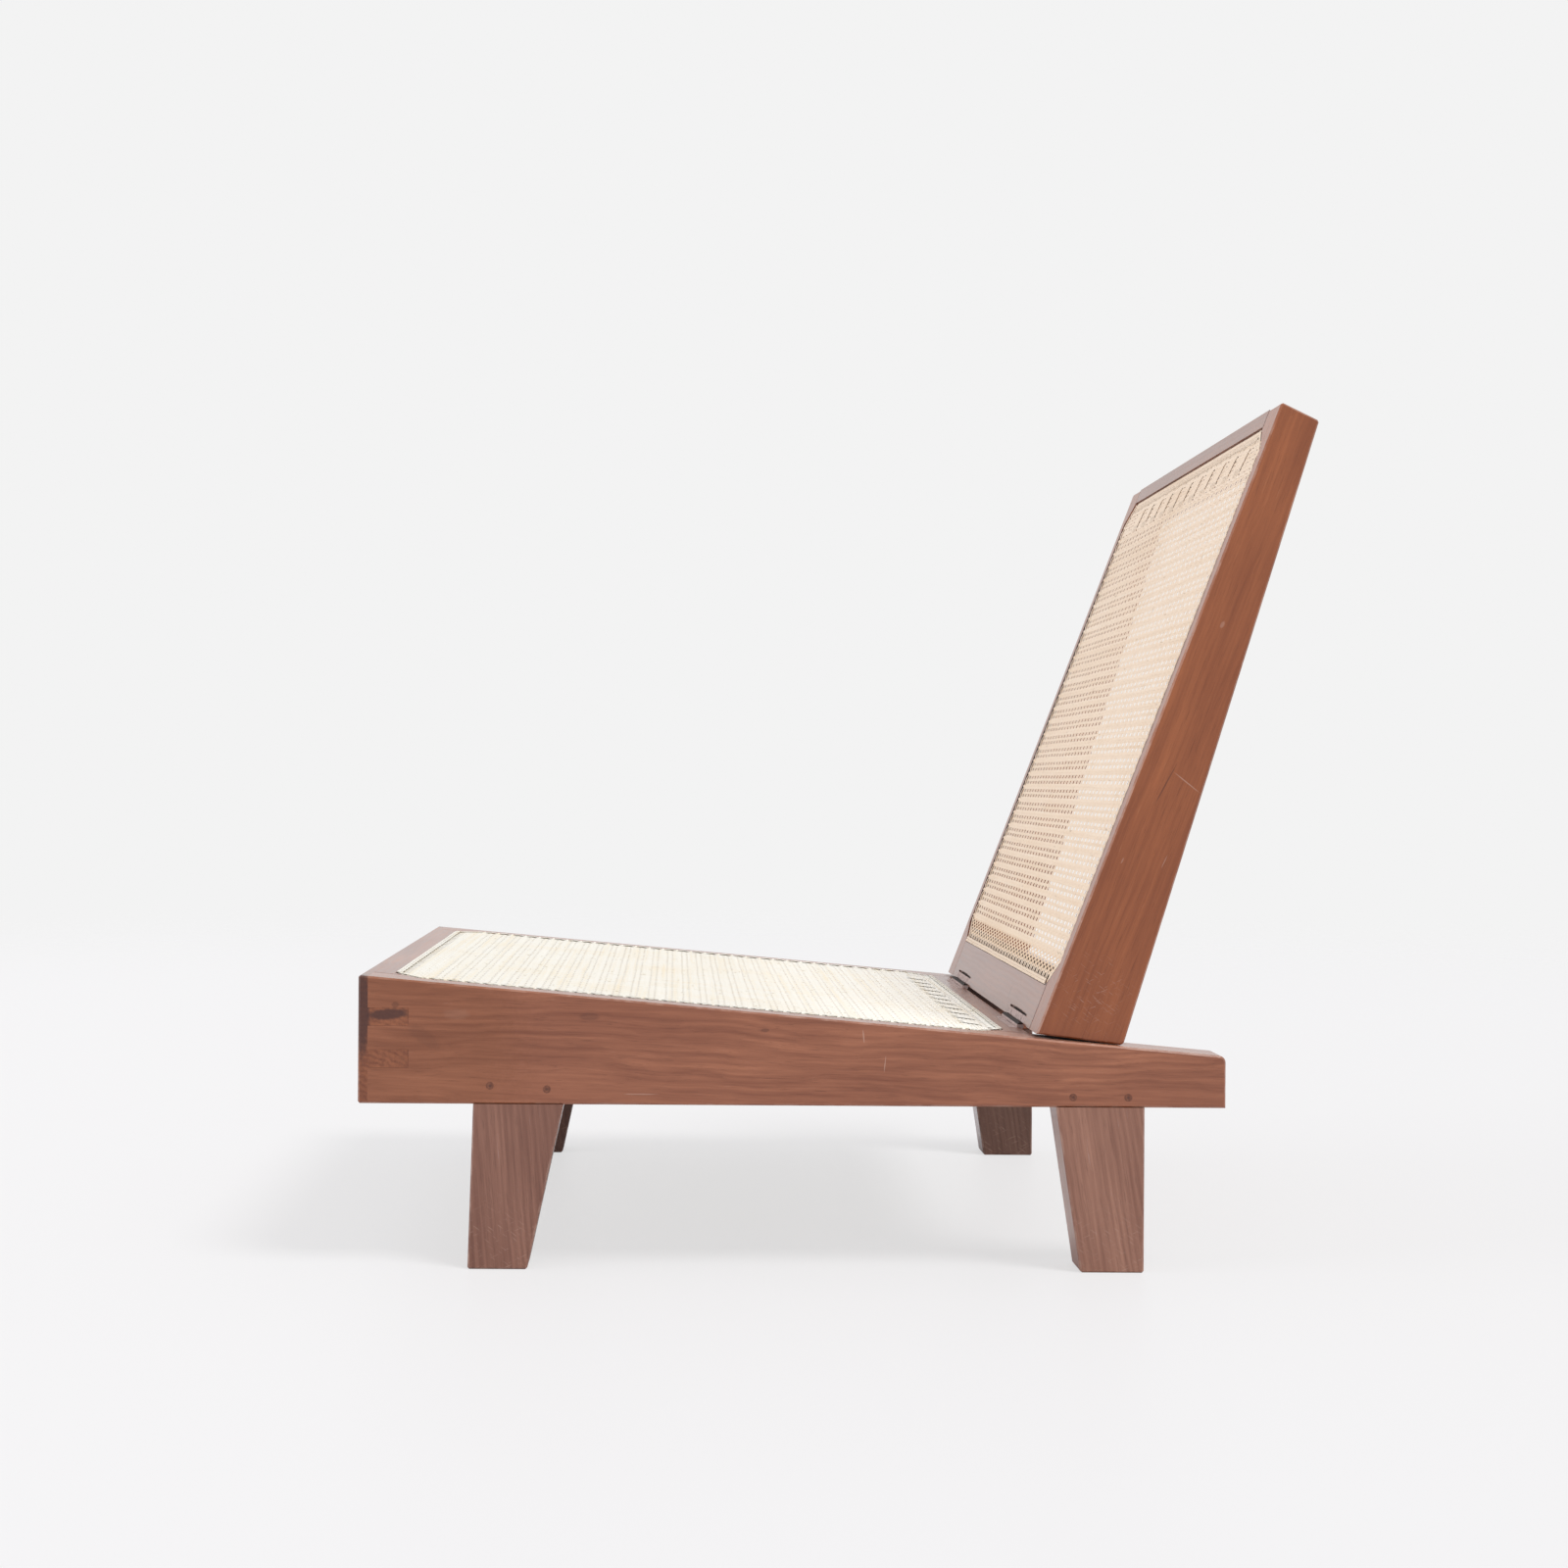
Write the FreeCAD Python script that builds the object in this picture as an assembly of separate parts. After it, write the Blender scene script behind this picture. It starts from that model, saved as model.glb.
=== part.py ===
import FreeCAD, Part
import math
import os

os.makedirs("parts", exist_ok=True)

# Low folding lounge chair of reddish hardwood with a caned seat and a caned back.
# The side boards of the seat run on behind the back as tails. The back rests on these tails,
# and two narrow butt hinges let it fold forward flat onto the seat.
# Frame: X across the chair (the sitter's left is +X), front towards -Y, Z up from the floor.
# All lengths are in millimetres and all angles in degrees.

# Seat boards
seat_width = 550.0
board_thickness = 35.0
board_length = 725.0
board_front_height = 107.0
board_rear_height = 43.3
underside_height = 138.0
tail_corner_radius = 6.0

# Front rail: a thin lip covers the board ends, and fingers show on the side faces
front_rail_thickness = 42.0
lip_thickness = 8.0
finger_height = 15.0
lower_finger_rise = 30.0
upper_finger_rise = 65.0

# Rear rail, under the hinge line
rear_rail_thickness = 35.0
rear_rail_height = 45.0
rear_tenon_thickness = 14.0
rear_tenon_shoulder = 8.0

# Legs, tenoned into the underside of the boards and pegged
front_leg_setback = 96.3
front_leg_top_width = 75.6
front_leg_foot_width = 49.8
front_leg_rake = 4.0
rear_leg_setback = 67.5
rear_leg_top_width = 74.0
rear_leg_foot_width = 53.0
leg_tenon_length = 26.0
leg_tenon_thickness = 14.0
leg_tenon_shoulder = 6.0
peg_diameter = 6.5
peg_edge_distance = 14.0
front_leg_fore_peg_rise = 15.3
front_leg_aft_peg_rise = 12.6
rear_leg_peg_rise = 8.4

# Back frame
back_lean = 20.9
back_length = 569.0
back_top_depth = 35.0
back_foot_depth = 71.4
back_inset = 8.0
back_foot_gap = 3.0
back_rest_gap = 0.3
back_foot_radius = 4.0
stile_thickness = 35.0
top_rail_height = 33.0
top_rail_depth = 30.0
bottom_rail_height = 57.0
bottom_rail_depth = 35.0
back_tenon_thickness = 12.0
back_tenon_setback = 9.0
back_tenon_shoulder = 9.0

# Blind tenons reach this far into a board or a stile
blind_tenon_length = 22.0

# Cane panels, let into shallow beds along the inner edges of the frames
bed_depth = 2.5
cane_proud = 0.5
cane_corner_clip = 22.0
cane_openings = 9
cane_open_share = 0.5
cane_side_margin = 20.0
cane_end_margin = 36.0
seat_rim_side = 22.0
seat_rim_front = 25.0
seat_rim_rear = 20.0
back_rim_side = 15.0
back_rim_top = 16.0
back_rim_bottom = 40.0
binding_width = 5.0
binding_thickness = 1.0

# Butt hinges
hinge_reach = 568.0
hinge_side_distance = 113.0
hinge_length = 80.0
hinge_knuckles = 3
leaf_thickness = 1.5
leaf_width = 9.5
leaf_gap = 3.0
leaf_slot = 2.0
pin_radius = 1.5
screw_setback = 6.4
screws_per_leaf = 2
screw_spacing = 50.0
screw_head_radius = 2.7
screw_shank_radius = 1.2
screw_length = 15.0
screw_sides = 12

# Fits and finish
joint_clearance = 0.1
peg_clearance = 0.05
pin_clearance = 0.05
screw_clearance = 0.05
knuckle_play = 0.2
barrel_clearance = 0.3
cane_clearance = 0.3
edge_ease = 1.5
hair = 0.01
overrun = 20.0

Vector = FreeCAD.Vector
ACROSS = Vector(1, 0, 0)
INTO_WOOD = Vector(0, 1, 0)
UP = Vector(0, 0, 1)
ORIGIN = Vector(0, 0, 0)

# Worked out from the sizes above
outer_x = seat_width / 2
inner_x = outer_x - board_thickness
front_top = underside_height + board_front_height
seat_fall = (board_front_height - board_rear_height) / board_length
seat_slope = math.degrees(math.atan(seat_fall))
back_outer_x = outer_x - back_inset
back_inner_x = back_outer_x - stile_thickness
half_gap = leaf_gap / 2
knuckle_radius = half_gap + leaf_thickness
knuckle_pitch = hinge_length / hinge_knuckles

# The angle between the back and a line square to the seat, and where the hinge pin lies from the
# lower front corner of the back
back_opening = math.radians(back_lean - seat_slope)
pin_rise = (half_gap - back_foot_gap - half_gap * math.sin(back_opening)) / math.cos(back_opening)
foot_lift = back_rest_gap - back_foot_gap + back_foot_depth * math.sin(back_opening)
back_foot_rise = foot_lift / math.cos(back_opening)

# Places: the seat plane starts at the front top edge and falls to the rear, and the back stands on
# its lower front corner
seat_place = FreeCAD.Placement(Vector(0, 0, front_top), FreeCAD.Rotation(ACROSS, -seat_slope))
hinge_axis = seat_place.multVec(Vector(0, hinge_reach, half_gap))
back_turn = FreeCAD.Rotation(ACROSS, -back_lean)
back_place = FreeCAD.Placement(hinge_axis - back_turn.multVec(Vector(0, -half_gap, pin_rise)), back_turn)
back_panel_place = back_place.multiply(FreeCAD.Placement(ORIGIN, FreeCAD.Rotation(ACROSS, 90)))
seat_leaf_turn = FreeCAD.Rotation(ACROSS, 90 - seat_slope).multiply(FreeCAD.Rotation(UP, 180))
seat_leaf_place = FreeCAD.Placement(hinge_axis, seat_leaf_turn)
back_leaf_place = FreeCAD.Placement(hinge_axis, back_turn)


def prism(outline, x_from, x_to):
    """Runs an outline of (y, z) points across the chair."""
    points = [Vector(x_from, y, z) for y, z in outline]
    face = Part.Face(Part.makePolygon(points + points[:1]))
    return face.extrude(Vector(x_to - x_from, 0, 0))


def block(x_span, y_span, z_span):
    """A box from three (low, high) spans."""
    low = Vector(x_span[0], y_span[0], z_span[0])
    return Part.makeBox(x_span[1] - x_span[0], y_span[1] - y_span[0], z_span[1] - z_span[0], low)


def placed(shape, place):
    return shape.transformed(place.toMatrix())


def moved_across(shape, distance):
    moved = shape.copy()
    moved.translate(Vector(distance, 0, 0))
    return moved


def mirrored(shape):
    """The same piece on the sitter's right."""
    return shape.mirror(ORIGIN, ACROSS)


def joined(shapes):
    return shapes[0].multiFuse(shapes[1:]).removeSplitter()


def rounded(solid, radius, wanted):
    """Rounds the edges whose middle point passes the test."""
    return solid.makeFillet(radius, [edge for edge in solid.Edges if wanted(edge.CenterOfMass)])


def eased(solid, wanted):
    """Planes off the sharp edges whose middle point passes the test."""
    return solid.makeChamfer(edge_ease, [edge for edge in solid.Edges if wanted(edge.CenterOfMass)])


def seat_height(y):
    """Height of the seat plane at a distance behind the front face."""
    return front_top - y * seat_fall


def grown(span, margin):
    return (span[0] - margin, span[1] + margin)


# Cane panels

def clipped_plate(half_width, length_span, clip, height_span):
    """A flat plate in the XY plane with its four corners cut off."""
    low, high = length_span
    corners = [
        (-half_width + clip, low), (half_width - clip, low), (half_width, low + clip),
        (half_width, high - clip), (half_width - clip, high), (-half_width + clip, high),
        (-half_width, high - clip), (-half_width, low + clip),
    ]
    points = [Vector(x, y, height_span[0]) for x, y in corners]
    face = Part.Face(Part.makePolygon(points + points[:1]))
    return face.extrude(Vector(0, 0, height_span[1] - height_span[0]))


def opening_spans(span):
    """Where the openings of a panel lie along one of its directions."""
    pitch = (span[1] - span[0]) / cane_openings
    middles = [span[0] + (index + 1 / 2) * pitch for index in range(cane_openings)]
    return [grown((middle, middle), pitch * cane_open_share / 2) for middle in middles]


def cane_panel(half_width, length_span):
    """The woven mat as a plate with a coarse grid of openings inside its closed edges."""
    plate = clipped_plate(half_width, length_span, cane_corner_clip, (-bed_depth, cane_proud))
    x_spans = opening_spans(grown((-half_width, half_width), -cane_side_margin))
    y_spans = opening_spans(grown(length_span, -cane_end_margin))
    return plate.cut(Part.makeCompound([block(x_span, y_span, (-overrun, overrun))
                                        for x_span in x_spans for y_span in y_spans]))


def cane_bed(half_width, length_span):
    """The cutter that sinks the bed of a cane panel into its frame."""
    return clipped_plate(half_width + cane_clearance, grown(length_span, cane_clearance),
                         cane_corner_clip, (-bed_depth, overrun))


def binding_strip(half_width, y_from):
    """The flat strip that is laid over the edge holes of a cane panel."""
    reach = half_width - cane_corner_clip
    return block((-reach, reach), (y_from, y_from + binding_width),
                 (cane_proud, cane_proud + binding_thickness))


seat_cane_half = outer_x - seat_rim_side
seat_cane_span = (seat_rim_front, hinge_reach - seat_rim_rear)
back_cane_half = back_outer_x - back_rim_side
back_cane_span = (back_rim_bottom, back_length - back_rim_top)
seat_bed = placed(cane_bed(seat_cane_half, seat_cane_span), seat_place)
back_bed = placed(cane_bed(back_cane_half, back_cane_span), back_panel_place)


# Hinges, each built round its pin: the leaf stands up along +Z and is let in towards +Y

def barrel(x_span, radius):
    return Part.makeCylinder(radius, x_span[1] - x_span[0], Vector(x_span[0], 0, 0), ACROSS)


def knuckle_spans(first):
    """The stretches of the barrel that belong to one leaf."""
    start = -hinge_length / 2
    return [(start + index * knuckle_pitch, start + (index + 1) * knuckle_pitch)
            for index in range(first, hinge_knuckles, 2)]


def screw_places():
    return [(index - (screws_per_leaf - 1) / 2) * screw_spacing for index in range(screws_per_leaf)]


def screw_ring(x, y, radius):
    """One cross-section of a screw, with few sides because there are many screws."""
    angles = [2 * math.pi * index / screw_sides for index in range(screw_sides)]
    points = [Vector(x + radius * math.cos(angle), y, screw_setback + radius * math.sin(angle))
              for angle in angles]
    return Part.makePolygon(points + points[:1])


def screw_head(x, clearance):
    """The countersunk head, which fills the leaf from face to back."""
    return Part.makeLoft([screw_ring(x, half_gap, screw_head_radius + clearance),
                          screw_ring(x, knuckle_radius, screw_shank_radius + clearance)], True, True)


def screw_shank(x, clearance):
    start = screw_ring(x, knuckle_radius, screw_shank_radius + clearance)
    return Part.Face(start).extrude(INTO_WOOD * (screw_length - leaf_thickness + clearance))


def hinge_leaf(first):
    """A leaf with every other knuckle of the barrel, starting with the first or the second."""
    half = hinge_length / 2
    plate = block((-half, half), (half_gap, knuckle_radius), (0, leaf_width))
    reach = knuckle_radius + barrel_clearance
    for x_span in knuckle_spans(1 - first):
        plate = plate.cut(block(x_span, (0, reach), (-reach, reach)))
    knuckles = [barrel(grown(x_span, -knuckle_play / 2), knuckle_radius) for x_span in knuckle_spans(first)]
    leaf = joined([plate] + knuckles)
    leaf = leaf.cut(barrel((-half - overrun, half + overrun), pin_radius + pin_clearance))
    for x in screw_places():
        leaf = leaf.cut(screw_head(x, screw_clearance))
    return leaf


def hinge_recess(slot):
    """What is cut from the wood for one leaf, the barrel and the screws."""
    half = hinge_length / 2 + joint_clearance
    bed = block((-half, half), (half_gap - overrun, knuckle_radius), (-overrun, leaf_width + slot))
    cutters = [bed, barrel((-half, half), knuckle_radius + barrel_clearance)]
    cutters += [screw_shank(x, screw_clearance) for x in screw_places()]
    return cutters


def hinge_pin():
    half = hinge_length / 2
    return placed(barrel((-half, half), pin_radius), FreeCAD.Placement(hinge_axis, FreeCAD.Rotation()))


hinge_x = outer_x - hinge_side_distance


def cut_for_hinges(rail, place, slot):
    """Sinks both hinges into a rail."""
    for cutter in hinge_recess(slot):
        tool = placed(cutter, place)
        rail = rail.cut(moved_across(tool, hinge_x)).cut(moved_across(tool, -hinge_x))
    return rail


# Legs

def leg_outline(front_top_y, top_width, front_foot_y, foot_width):
    return [(front_foot_y, 0), (front_foot_y + foot_width, 0),
            (front_top_y + top_width, underside_height), (front_top_y, underside_height)]


def leg_tenon(front_y, width, clearance):
    """The tenon on a leg, or with a clearance the mortise for it."""
    middle_x = outer_x - board_thickness / 2
    half = leg_tenon_thickness / 2 + clearance
    y_span = grown((front_y + leg_tenon_shoulder, front_y + width - leg_tenon_shoulder), clearance)
    top = underside_height + leg_tenon_length + clearance
    return block((middle_x - half, middle_x + half), y_span, (underside_height - overrun, top))


def peg(y, z, clearance):
    """A round peg from the outer face through the tenon, or with a clearance its hole."""
    length = (board_thickness + leg_tenon_thickness) / 2
    start = Vector(outer_x - length, y, z)
    return Part.makeCylinder(peg_diameter / 2 + clearance, length, start, ACROSS)


def made_leg(outline, tenon, peg_holes):
    body = prism(outline, inner_x, outer_x)
    body = eased(body, lambda middle: middle.z < underside_height - hair)
    tenon = tenon.common(block((inner_x, outer_x), (0, board_length), (underside_height, front_top)))
    leg = joined([body, tenon])
    for hole in peg_holes:
        leg = leg.cut(hole)
    return leg


front_leg_y = front_leg_setback
rear_leg_y = board_length - rear_leg_setback - rear_leg_top_width
rear_foot_y = rear_leg_y + rear_leg_top_width - rear_leg_foot_width
front_pegs = [
    (front_leg_y + peg_edge_distance, underside_height + front_leg_fore_peg_rise),
    (front_leg_y + front_leg_top_width - peg_edge_distance, underside_height + front_leg_aft_peg_rise),
]
rear_pegs = [
    (rear_leg_y + peg_edge_distance, underside_height + rear_leg_peg_rise),
    (rear_leg_y + rear_leg_top_width - peg_edge_distance, underside_height + rear_leg_peg_rise),
]
front_leg = made_leg(
    leg_outline(front_leg_y, front_leg_top_width, front_leg_y - front_leg_rake, front_leg_foot_width),
    leg_tenon(front_leg_y, front_leg_top_width, 0),
    [peg(y, z, peg_clearance) for y, z in front_pegs])
rear_leg = made_leg(
    leg_outline(rear_leg_y, rear_leg_top_width, rear_foot_y, rear_leg_foot_width),
    leg_tenon(rear_leg_y, rear_leg_top_width, 0),
    [peg(y, z, peg_clearance) for y, z in rear_pegs])
leg_pegs = Part.makeCompound([peg(y, z, 0) for y, z in front_pegs + rear_pegs])


# Seat rails

def fingers(clearance):
    """The two through tenons at the left end of the front rail, or with a clearance their slots."""
    y_span = (lip_thickness - clearance, front_rail_thickness + clearance)
    return [block((inner_x - clearance, outer_x + clearance), y_span,
                  grown((underside_height + rise, underside_height + rise + finger_height), clearance))
            for rise in (lower_finger_rise, upper_finger_rise)]


def made_front_rail():
    body = prism([(0, underside_height), (front_rail_thickness, underside_height),
                  (front_rail_thickness, seat_height(front_rail_thickness)), (0, front_top)],
                 -inner_x, inner_x)
    body = eased(body, lambda middle: abs(middle.x) < hair and middle.z < underside_height + hair)
    lip = prism([(0, underside_height), (lip_thickness, underside_height),
                 (lip_thickness, seat_height(lip_thickness)), (0, front_top)], -outer_x, outer_x)
    lip = eased(lip, lambda middle: middle.y < lip_thickness - hair)
    rail = joined([body.cut(block((-outer_x, outer_x), (0, lip_thickness), (0, front_top))), lip]
                  + fingers(0) + [mirrored(finger) for finger in fingers(0)])
    return rail.cut(seat_bed)


def rear_tenon(clearance):
    """The blind tenon at the left end of the rear rail, or with a clearance its mortise."""
    middle_y = hinge_reach - rear_rail_thickness / 2
    half = rear_tenon_thickness / 2 + clearance
    z_span = grown((rear_tenon_shoulder - rear_rail_height, -rear_tenon_shoulder), clearance)
    tenon = block((inner_x - clearance, inner_x + blind_tenon_length + clearance),
                  (middle_y - half, middle_y + half), z_span)
    return placed(tenon, seat_place)


def made_rear_rail():
    body = block((-inner_x, inner_x), (hinge_reach - rear_rail_thickness, hinge_reach),
                 (-rear_rail_height, 0))
    body = placed(eased(body, lambda middle: abs(middle.x) < hair and middle.z < -hair), seat_place)
    rail = joined([body, rear_tenon(0), mirrored(rear_tenon(0))]).cut(seat_bed)
    return cut_for_hinges(rail, seat_leaf_place, joint_clearance)


def made_side_board():
    """The left board, with slots for the fingers, mortises and peg holes."""
    rear_top = underside_height + board_rear_height
    board = prism([(lip_thickness, underside_height), (board_length, underside_height),
                   (board_length, rear_top), (lip_thickness, seat_height(lip_thickness))],
                  inner_x, outer_x)
    board = rounded(board, tail_corner_radius,
                    lambda middle: middle.y > board_length - hair and middle.z > rear_top - hair)
    middle_x = outer_x - board_thickness / 2
    board = eased(board, lambda middle: middle.y > lip_thickness + hair and abs(middle.x - middle_x) > hair)
    cutters = fingers(joint_clearance) + [rear_tenon(joint_clearance), seat_bed]
    cutters += [leg_tenon(front_leg_y, front_leg_top_width, joint_clearance),
                leg_tenon(rear_leg_y, rear_leg_top_width, joint_clearance)]
    cutters += [peg(y, z, peg_clearance) for y, z in front_pegs + rear_pegs]
    for cutter in cutters:
        board = board.cut(cutter)
    return board


# Back frame, built upright with its lower front edge at the origin, +Y into its depth

back_outline = [
    (0, 0), (0, back_length),
    (back_top_depth, back_length - back_top_depth * seat_fall),
    (back_foot_depth, back_foot_rise),
]
top_rail_span = (back_length - top_rail_height, back_length)
bottom_rail_span = (0, bottom_rail_height)


def back_tenon(rail_span, clearance):
    """The blind tenon at the left end of a back rail, or with a clearance its mortise."""
    y_span = grown((back_tenon_setback, back_tenon_setback + back_tenon_thickness), clearance)
    z_span = grown((rail_span[0] + back_tenon_shoulder, rail_span[1] - back_tenon_shoulder), clearance)
    return block((back_inner_x - clearance, back_inner_x + blind_tenon_length + clearance), y_span, z_span)


def made_back_rail(rail_span, depth):
    body = prism(back_outline, -back_inner_x, back_inner_x)
    body = body.common(block((-back_inner_x, back_inner_x), (0, depth), rail_span))
    body = eased(body, lambda middle: abs(middle.x) < hair and middle.y > depth - hair)
    tenon = back_tenon(rail_span, 0)
    return joined([body, tenon, mirrored(tenon)])


def made_stile():
    stile = prism(back_outline, back_inner_x, back_outer_x)
    stile = rounded(stile, back_foot_radius, lambda middle: middle.y > back_foot_depth - hair)
    middle_x = back_outer_x - stile_thickness / 2
    stile = eased(stile, lambda middle: abs(middle.x - middle_x) > hair or middle.z > back_length / 2)
    for rail_span in (top_rail_span, bottom_rail_span):
        stile = stile.cut(back_tenon(rail_span, joint_clearance))
    return placed(stile, back_place).cut(back_bed)


back_top_rail = placed(made_back_rail(top_rail_span, top_rail_depth), back_place).cut(back_bed)
back_bottom_rail = placed(made_back_rail(bottom_rail_span, bottom_rail_depth), back_place).cut(back_bed)
back_bottom_rail = cut_for_hinges(back_bottom_rail, back_leaf_place, leaf_slot)

# The pieces by name

seat_side = made_side_board()
back_stile = made_stile()
seat_leaf = placed(hinge_leaf(0), seat_leaf_place)
back_leaf = placed(hinge_leaf(1), back_leaf_place)
screws = Part.makeCompound([joined([screw_head(x, 0), screw_shank(x, 0)]) for x in screw_places()])
seat_screws = placed(screws, seat_leaf_place)
back_screws = placed(screws, back_leaf_place)

pieces = {
    "seat_front_rail": made_front_rail(),
    "seat_rear_rail": made_rear_rail(),
    "seat_cane": placed(cane_panel(seat_cane_half, seat_cane_span), seat_place),
    "seat_cane_binding": placed(Part.makeCompound([
        binding_strip(seat_cane_half, seat_cane_span[0]),
        binding_strip(seat_cane_half, seat_cane_span[1] - binding_width)]), seat_place),
    "seat_leaf_screws": Part.makeCompound([
        moved_across(seat_screws, hinge_x), moved_across(seat_screws, -hinge_x)]),
    "back_top_rail": back_top_rail,
    "back_bottom_rail": back_bottom_rail,
    "back_cane": placed(cane_panel(back_cane_half, back_cane_span), back_panel_place),
    "back_cane_binding": placed(binding_strip(back_cane_half, back_cane_span[0]), back_panel_place),
    "back_leaf_screws": Part.makeCompound([
        moved_across(back_screws, hinge_x), moved_across(back_screws, -hinge_x)]),
}
for name, piece in (("seat_side", seat_side), ("front_leg", front_leg), ("rear_leg", rear_leg),
                    ("leg_pegs", leg_pegs), ("back_stile", back_stile)):
    pieces[name + "_left"] = piece
    pieces[name + "_right"] = mirrored(piece)
for name, piece in (("hinge_seat_leaf", seat_leaf), ("hinge_back_leaf", back_leaf),
                    ("hinge_pin", hinge_pin())):
    pieces[name + "_left"] = moved_across(piece, hinge_x)
    pieces[name + "_right"] = moved_across(piece, -hinge_x)

# The origin is on the floor, in the middle of the chair's length and width
box = Part.makeCompound(list(pieces.values())).BoundBox
to_middle = Vector(0, -(box.YMin + box.YMax) / 2, 0)
for name, piece in pieces.items():
    finished = piece.copy()
    finished.translate(to_middle)
    if not finished.isValid():
        raise ValueError(name + " is not a valid solid")
    finished.exportStep("parts/" + name + ".step")

print("overall size", round(box.XLength, 2), round(box.YLength, 2), round(box.ZLength, 2))
print("hinge axis", hinge_axis + to_middle)
print("seat slope", round(seat_slope, 3), "fold to parallel", round(90 + back_lean - seat_slope, 3))
print("foot centres", [round(y + to_middle.y, 2) for y in (
    front_leg_y - front_leg_rake + front_leg_foot_width / 2, rear_foot_y + rear_leg_foot_width / 2)])
print("pieces", len(pieces), "solids", sum(len(piece.Solids) for piece in pieces.values()))
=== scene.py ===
import math
from dataclasses import dataclass

import bmesh
import bpy
from bpy.props import FloatProperty, FloatVectorProperty, IntProperty, PointerProperty
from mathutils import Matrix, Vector


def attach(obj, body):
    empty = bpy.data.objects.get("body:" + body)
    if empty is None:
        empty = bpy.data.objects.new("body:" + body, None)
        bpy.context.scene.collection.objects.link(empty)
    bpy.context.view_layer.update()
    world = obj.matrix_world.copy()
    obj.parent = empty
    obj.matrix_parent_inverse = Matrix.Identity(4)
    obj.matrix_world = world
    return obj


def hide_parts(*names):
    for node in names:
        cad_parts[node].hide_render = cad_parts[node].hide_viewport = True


bl_info = {
    "name": "Low folding cane chair",
    "version": (1, 0, 0),
    "blender": (4, 5, 0),
    "location": "View3D > Sidebar > Cane Chair",
    "description": "Dresses a low folding chair with oiled wood, woven cane, hinges and a studio",
    "category": "Add Mesh",
}

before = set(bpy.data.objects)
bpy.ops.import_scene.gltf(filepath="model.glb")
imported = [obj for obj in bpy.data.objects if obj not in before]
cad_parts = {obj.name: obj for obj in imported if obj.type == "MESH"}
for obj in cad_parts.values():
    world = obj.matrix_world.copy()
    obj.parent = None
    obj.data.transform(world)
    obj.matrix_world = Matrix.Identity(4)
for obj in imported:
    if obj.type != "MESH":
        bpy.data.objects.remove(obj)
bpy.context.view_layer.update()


# Sizes and colours that a user may change

def setting(kind, **limits):
    """Makes a function that takes the name, description and default of a setting of one kind."""
    return lambda name, description, default: kind(name=name, description=description, default=default,
                                                   **limits)


size = setting(FloatProperty, unit="LENGTH", precision=5)
turn = setting(FloatProperty, unit="ROTATION")
amount = setting(FloatProperty)
place = setting(FloatVectorProperty, subtype="TRANSLATION")
colour = setting(FloatVectorProperty, subtype="COLOR", min=0, max=1)


class ChairShape(bpy.types.PropertyGroup):
    """Where the seat plane, the back plane and the hinge line lie."""
    seat_start: place("Seat start", "Front top edge of the seat plane", (0, -0.4011, 0.245))
    seat_turn: turn("Seat slope", "Turn of the seat plane about the width", math.radians(-5.0213))
    seat_half_width: size("Seat mat half width", "Half the width of the seat mat", 0.253)
    seat_mat_front: size("Seat mat front", "Front edge of the seat mat from the seat start", 0.025)
    seat_mat_rear: size("Seat mat rear", "Rear edge of the seat mat from the seat start", 0.548)
    back_start: place("Back start", "Lower front edge of the back plane", (0, 0.166963, 0.198058))
    back_turn: turn("Back plane", "Turn of the back plane about the width", math.radians(69.1))
    back_half_width: size("Back mat half width", "Half the width of the back mat", 0.252)
    back_mat_foot: size("Back mat foot", "Lower edge of the back mat from the back start", 0.04)
    back_mat_top: size("Back mat top", "Upper edge of the back mat from the back start", 0.553)
    corner_clip: size("Corner clip", "How much is cut off the corners of a mat", 0.022)
    hinge_line: place("Hinge line", "Middle of the hinge pins", (0, 0.164849, 0.19678))
    hinge_side: size("Hinge place", "Middle of a hinge from the middle of the chair", 0.162)


class CaneSizes(bpy.types.PropertyGroup):
    """The weave."""
    pitch: size("Hole spacing", "Distance from hole to hole along the frame", 0.0152)
    pairs: IntProperty(name="Upright pairs", description="Pairs of long strands in a mat", default=33)
    upright_width: size("Long strand", "Width of the strands that run up a mat", 0.005)
    upright_spacing: size("Long strand spacing", "Distance between the two strands of a pair", 0.0052)
    cross_width: size("Cross strand", "Width of the strands that run across a mat", 0.0031)
    single_width: size("Single strand", "Width of the cross strand between two pairs", 0.0028)
    thickness: size("Thickness", "Thickness of a strand of the back", 0.0005)
    cross_lift: size("Lift", "How far the cross strands of the back rise and fall", 0.0005)
    seat_thickness: size("Seat thickness", "Thickness of a strand of the seat", 0.0005)
    seat_lift: size("Seat lift", "How far the cross strands of the seat rise and fall", 0.00032)
    long_lift: size("Long lift", "Half the step between the two strands of a pair", 0.00006)
    long_growth: size("Long strand growth", "How much a pair widens three times up the back", 0.0005)
    seat_snug: amount("Seat snugness", "How much wider the strands of the seat are laid", 1.32)
    seat_sunk: size("Seat depth", "Depth of the middle of the seat's weave in its frame", 0.0005)
    back_sunk: size("Back depth", "Depth of the middle of the back's weave in its frame", 0.0015)
    foot_band: size("Foot band", "Depth of the dense band at the first edge", 0.027)
    head_band: size("Head band", "Depth of the dense band at the last edge", 0.036)


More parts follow.
